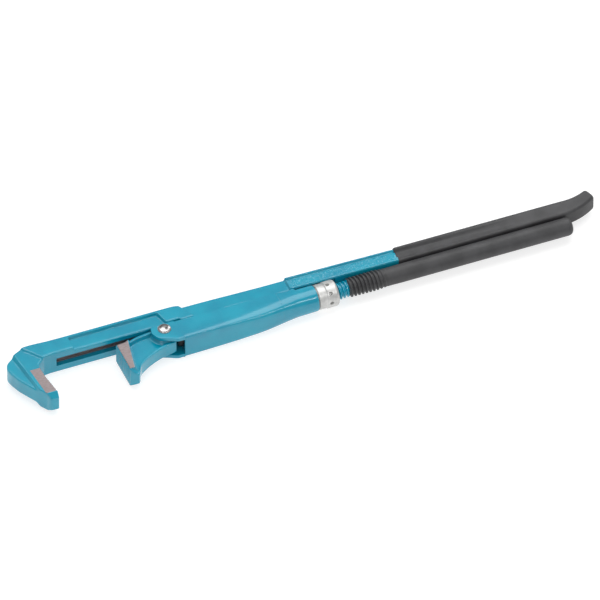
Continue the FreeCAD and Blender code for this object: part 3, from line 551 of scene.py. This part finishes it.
nutShape = {"front": 142.9, "long": 18.9, "radius": 12.0, "holeAt": 0.56, "holes": 8, "deep": 2.6}
nutX = nutShape["front"]
nutEnd = nutX + nutShape["long"]
nutRing = filled([
    (nutX, 9.8, 3), (nutX, 10.9, 3), (nutX + 0.5, 11.3, 10), (nutX + 7.4, 11.3, 3), (nutX + 8.0, 12.0, 30),
    (nutEnd - 2.6, 12.0, 4), (nutEnd - 1.4, 11.6, 3), (nutEnd - 0.6, 10.8, 3), (nutEnd, 9.6, 3),
    (nutEnd, 7.9, 4), (nutX + 5.6, 7.9, 2), (nutX + 5.6, 9.8, 4),
])


# tommy holes: within their radius the surface drops by their depth
def drilled(x, r, angle):
    step = 2 * np.pi / nutShape["holes"]
    off = (angle + step / 2) % step - step / 2
    away = np.hypot(x - nutX - nutShape["long"] * nutShape["holeAt"], off * nutShape["radius"])
    return r - nutShape["deep"] * (1 - ramp(away, 1.35, 1.75)) * (r > 11.2)


nutPoints = turned(nutRing, 360, drilled)
piece("adjustingNut", nutPoints, gridQuads(len(nutRing), 360, ringed=True), zincPlate, "nut",
      ["adjusting_nut"], sharp=32)
print("nut made")


sleeveShape = {
    "cheek": 12.0, "cheekTop": 7.1, "topRise": 4.6, "inner": 8.3, "slot": 4.6, "front": 13.2, "lip": 5.6,
    "spigot": 9.6, "bore": 8.0, "outerCount": 120, "innerCount": 40,
}


# radius of the sleeve's outside about the screw's axis: two cheeks, the floor and the top cut joined by a
# power mean, whose power falls from the square front to about 2 on the round tube
def sleeveOut(x, angle, topCut):
    lowPower = np.interp(x, [12, 45, 75, 90, 105, 120, 142], [18, 10.5, 5.8, 4.4, 3.2, 2.4, 2.1])
    highPower = np.interp(x, [108, 112, 126, 142], [22, 16, 2, 2])
    power = np.where(np.cos(angle) > 0, lowPower, highPower)
    side = np.interp(x, [100, 124], [12.0, 11.7])
    sides = np.abs(np.sin(angle)) / side
    floorAway = np.interp(x, [12, 82, 92, 102, 112, 124], [15, 15, 14.6, 13.6, 12.5, 11.7])
    floor = np.clip(np.cos(angle), 0, None) / floorAway
    top = np.clip(-np.cos(angle), 0, None) / topCut
    return (sides ** power + floor ** power + top ** power) ** (-1 / power)


outerCount, innerCount = sleeveShape["outerCount"], sleeveShape["innerCount"]
loopCount = outerCount + innerCount
channelX = np.concatenate([[13.2, 13.4, 13.8], np.linspace(14.6, 60, 14), np.linspace(62, 108, 40)])[:, None]
edgeAngle = np.pi - np.arctan2(sleeveShape["cheek"], sleeveShape["cheekTop"])
backAngle = np.pi - np.arccos(sleeveShape["cheekTop"] / 12.2)
edgeAngle = edgeAngle + (backAngle - edgeAngle) * ramp(channelX, 90, 108)
outerAngle = edgeAngle * np.linspace(-1, 1, outerCount)[None, :]
radius = sleeveOut(channelX + 0 * outerAngle, outerAngle, 1e3)
nearFront = (1 - (channelX - sleeveShape["front"]) / 0.8).clip(0, 1)
cut = 0.5 * nearFront ** 2 * ramp(np.cos(outerAngle), 0.72, 0.85)
outY = axisY - (radius - cut) * np.cos(outerAngle)
outY = np.minimum(outY, sleeveShape["lip"])
outZ = (radius - cut) * np.sin(outerAngle)
slotHalf = sleeveShape["inner"] + (sleeveShape["slot"] - sleeveShape["inner"]) * ramp(channelX, 82.5, 83.5)
deepAt = -13.0 + 3.5 * ramp(channelX, 82.5, 83.5)
share = np.linspace(0, 1, innerCount)[None, :]
inZ = slotHalf * np.clip(1.0 - 3.0 * (share - 1 / 3), -1, 1)
wallDown = sleeveShape["lip"] + (deepAt - sleeveShape["lip"]) * share * 3
wallUp = deepAt + (sleeveShape["lip"] - deepAt) * (share - 2 / 3) * 3
inY = np.where(share < 1 / 3, wallDown, np.where(share > 2 / 3, wallUp, deepAt))
loopX = np.repeat(channelX, loopCount, 1)
channel = np.stack([loopX, np.concatenate([outY, inY], 1), np.concatenate([outZ, inZ], 1)], 2)


# an end face between the outer and the inner line of a channel section
def channelCap(first, outer, inner, flip):
    k = np.arange(inner - 1)
    a = np.round(np.linspace(0, outer - 1, inner)).astype(int)
    quads = np.stack([a[:-1], a[1:], outer + inner - 2 - k, outer + inner - 1 - k], 1) + first
    return quads[:, ::-1] if flip else quads


channelQuads = np.concatenate([
    gridQuads(len(channelX), loopCount),
    channelCap(0, outerCount, innerCount, True),
    channelCap((len(channelX) - 1) * loopCount, outerCount, innerCount, False),
])
tubeEnds = [141.6, 141.9, 142.0, 142.0, 148.0, 148.0]
tubeX = np.concatenate([[107.9, 108.0], np.linspace(108.5, 141.0, 40), tubeEnds])[:, None]
roundAngle = np.linspace(-np.pi, np.pi, outerCount, endpoint=False)[None, :]
topCut = sleeveShape["cheekTop"] + sleeveShape["topRise"] * ramp(tubeX, 117, 128)
tubeR = sleeveOut(tubeX + 0 * roundAngle, roundAngle, topCut)
tubeR = tubeR - np.interp(tubeX, [141.0, 141.6, 141.9, 142.0], [0, 0.15, 0.45, 0.9])
tubeR[-3:] = sleeveShape["spigot"]
tubeR[[0, -1]] = sleeveShape["bore"]
tube = np.stack([tubeX + 0 * roundAngle, axisY - tubeR * np.cos(roundAngle), tubeR * np.sin(roundAngle)], 2)
tubeQuads = gridQuads(len(tubeX), outerCount, ringed=True)
around = np.linspace(-np.pi / 2 * 0.985, 0, 26)
earX = np.concatenate([12.0 * np.sin(around), np.linspace(0.6, 13.2, 26)])
earLow = np.concatenate([-12.0 * np.cos(around), np.full(26, -12.0)]) - 4.4 * ramp(earX, -4.0, 8.5)
earHigh = np.minimum(np.sqrt(np.clip(144 - np.clip(earX, None, 0) ** 2, 0.2, None)), 7.1)
earHigh = earHigh - 1.5 * ramp(earX, 10.0, 12.8)
earLines = np.stack([earX, earHigh, earX, earLow], 1)
earEdge = 0.8 * (1 - ramp(earX, 11.5, 13.0)) + 0.05
earLoops, earQuads = plate(earLines, even(1.85), even(1.85), earEdge, earEdge, 16, [-0.5, 0, 0.5])
earShift = np.array([0, 0, 10.15])
upperEar, lowerEar = earLoops + earShift, earLoops - earShift
sleevePoints, sleeveQuads = joined([(channel, channelQuads), (tube, tubeQuads), (upperEar, earQuads[:, ::-1]),
                                    (lowerEar, earQuads[:, ::-1])])
# painted shade: the channel's inner loop is marked so that it darkens to near black
channelShadeMark = np.zeros(len(sleevePoints))
channelShadeMark[:channel.size // 3] = np.tile(np.arange(loopCount) >= outerCount, len(channelX))
piece("sleeveBody", sleevePoints, sleeveQuads, sleeveEnamel, "sleeve", ["sleeve"],
      {"inside": channelShadeMark}, sharp=40)
print("sleeve made")


jaw = {
    "face": -46.3, "block": 10.5, "rib": 6.4, "topRib": 7.7, "web": 4.3, "hub": 8.0, "hubRadius": 9.6,
    "stripTop": 11.6, "stripNarrows": 0.2,
}


# half the short jaw's thickness: tooth block, web, two ribs along its edges and the hub round the rivet
def jawHeight(x, y, fromFirst, fromSecond):
    past = x - jaw["face"] - jaw["stripTop"] - (y + 1) * jaw["stripNarrows"]
    block = 1 - ramp(past, 0.2, 2.6)
    rim = 1 - ramp(fromSecond, 2.6, 4.4)
    high = 1 - ramp(fromFirst, 2.6, 4.4)
    hub = 1 - ramp(np.hypot(x, y), jaw["hubRadius"], jaw["hubRadius"] + 3.4)
    h = jaw["web"] + (jaw["rib"] - jaw["web"]) * rim
    h = np.maximum(h, jaw["web"] + (jaw["topRib"] - jaw["web"]) * high)
    h = np.maximum(h, jaw["web"] + (jaw["hub"] - jaw["web"]) * hub)
    h = h + (jaw["block"] - h) * block
    h = h - 0.5 * (1 - ramp(x - jaw["face"], 0, 0.5))
    nose = np.clip((x - jaw["face"]) * 0.76 + (-33.6 - y) * 0.65, 0, 8) / 8
    return np.where(y < -33.6, np.minimum(h, jaw["block"] - 4.6 * nose), h)


jawLines = filled([
    (-46.3, -1.6, -46.3, -34.2, 1), (-46.1, -1.3, -46.05, -34.5, 4), (-44.4, -1.1, -44.4, -35.9, 7),
    (-41, -1.0, -41.6, -38.4, 8), (-38, -0.9, -39.2, -39.4, 8), (-35.3, 0.6, -37.4, -37.2, 8),
    (-31, 2.4, -35.6, -33.0, 8), (-26.4, 4.1, -32.8, -28.8, 8), (-22.5, 4.8, -28.2, -25.6, 8),
    (-19, 5.3, -23.6, -22.8, 10), (-14, 5.9, -16.8, -19.5, 10), (-9, 6.3, -10.6, -17.1, 10),
    (-4, 6.5, -4, -15.2, 12), (2, 6.3, 1.4, -14.4, 8), (5.0, 4.2, 4.0, -14.0, 6), (6.6, -2.5, 6.0, -13.4, 1),
])
jawLines[2:] = eased(jawLines[2:], 4)
jawLoops, jawQuads = plate(jawLines, jawHeight, jawHeight, 0.9, 1.1, 120, [-2, 0, 2])
near = np.clip(1 - (jawLoops[..., 0] - jaw["face"]) / 2.4, 0, 1)
jawLoops[..., 0] += saw(jawLoops[..., 1]) * near
x, y, z = (jawLoops[..., k] for k in range(3))
stripEdge = jaw["face"] + jaw["stripTop"] + (y + 1) * jaw["stripNarrows"]
jawBare = np.minimum(np.minimum(stripEdge - x, y + 33.8), np.abs(z) - 10.3)
piece("shortJaw", jawLoops, jawQuads, blueEnamel, "movable_jaw", ["movable_jaw"],
      {"bare": jawBare, "hammered": 0 * jawBare})
print("short jaw made:", len(jawQuads), "faces")


# a round dome on a short brim, over a plain shank
def rivetPoints():
    bend = np.linspace(0, np.pi / 2, 14)
    r = np.concatenate([[0.02, 4.0, 4.0, 6.0, 6.1, 6.0], 5.8 * np.cos(bend)])
    r[-1] = 0.02
    z = np.concatenate([[-12.0, -12.0, 12.0, 12.0, 12.25, 12.5], 12.5 + 2.0 * np.sin(bend)])
    angle = np.arange(64) * 2 * np.pi / 64
    return np.stack([r[:, None] * np.cos(angle), r[:, None] * np.sin(angle), np.repeat(z[:, None], 64, 1)], 2)


dome = rivetPoints()
x, y, z = (dome[..., k] for k in range(3))
# a dark spot and a dark arc over the dome: painted reflections of dark surroundings
spot = 1.2 * np.exp(-((x - 1.2) ** 2 + (y + 1.8) ** 2) / 3.0)
arc = np.exp(-((np.hypot(x, y) - 3.4) / 0.9) ** 2) * ramp(y, -2.0, 1.0)
piece("jawRivet", dome, gridQuads(len(dome), 64, ringed=True), rivetPlate, "sleeve", ["jaw_rivet"],
      {"shade": np.clip(spot + 0.75 * arc, 0, 0.96) * (z > 12.2)}, sharp=45)

for name in ("hinge_pin", "thrust_washer", "retaining_ring"):
    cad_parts[name].data.materials[0] = oiledSteel
# the spring and its rivet get near-black steel as painted shade
for name in ("jaw_spring", "spring_rivet"):
    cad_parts[name].data.materials[0] = springShadeSteel
print("rivet made, hidden parts finished")


studio = {"floor": (0.40, 0.40, 0.40, 1), "world": 0.41, "target": (124.1, -10.6, 12.0), "distance": 21.95,
          "toCamera": (-0.2724, -0.6710, 0.6896), "lens": 1500.0}

floorMesh = bpy.data.meshes.new("floor")
floorMesh.from_pydata([(-8, -8, -0.0003), (8, -8, -0.0003), (8, 8, -0.0003), (-8, 8, -0.0003)], [], [(0, 1, 2, 3)])
floor = bpy.data.objects.new("floor", floorMesh)
bpy.context.scene.collection.objects.link(floor)
floorPaint, tree = newMaterial("paleFloor")
finish(tree, {"Base Color": studio["floor"], "Roughness": 0.9, "Emission Color": (1, 1, 1, 1),
              "Emission Strength": 0.72})
floorMesh.materials.append(floorPaint)

world = bpy.data.worlds.new("studio")
world.use_nodes = True
world.node_tree.nodes["Background"].inputs["Color"].default_value = (1, 1, 1, 1)
world.node_tree.nodes["Background"].inputs["Strength"].default_value = studio["world"]
bpy.context.scene.world = world
bpy.context.scene.view_settings.view_transform = "Standard"  # plain product colours


# a rectangular area light, turned from its place towards the target
def softbox(name, place, target, wide, high, power):
    data = bpy.data.lights.new(name, "AREA")
    data.shape = "RECTANGLE"
    data.size, data.size_y, data.energy = wide, high, power
    lamp = bpy.data.objects.new(name, data)
    lamp.location = place
    lamp.rotation_mode = "QUATERNION"
    lamp.rotation_quaternion = (Vector(target) - Vector(place)).to_track_quat("-Z", "Y")
    bpy.context.scene.collection.objects.link(lamp)


softbox("overhead", (0.1, 0.5, 1.6), (0, 0, 0), 2.2, 1.4, 23)
softbox("frontLeft", (-1.4, -1.2, 1.3), (0, 0, 0), 0.7, 1.2, 4)
softbox("backRight", (1.3, 1.1, 1.0), (0, 0, 0), 0.8, 0.8, 5)
softbox("streak", (0.40, -1.00, 1.04), (0, 0, 0), 0.9, 0.06, 3.4)

cameraData = bpy.data.cameras.new("camera")
cameraData.lens = studio["lens"]
cameraData.sensor_width = 36.0
cameraData.clip_start, cameraData.clip_end = 1.0, 60.0
camera = bpy.data.objects.new("camera", cameraData)
away = Vector(studio["toCamera"]).normalized()
camera.location = Vector(placed(np.array(studio["target"]))) + away * studio["distance"]
camera.rotation_mode = "QUATERNION"
camera.rotation_quaternion = (-away).to_track_quat("-Z", "Y")
bpy.context.scene.collection.objects.link(camera)
bpy.context.scene.camera = camera
print("stage, lights and camera set")
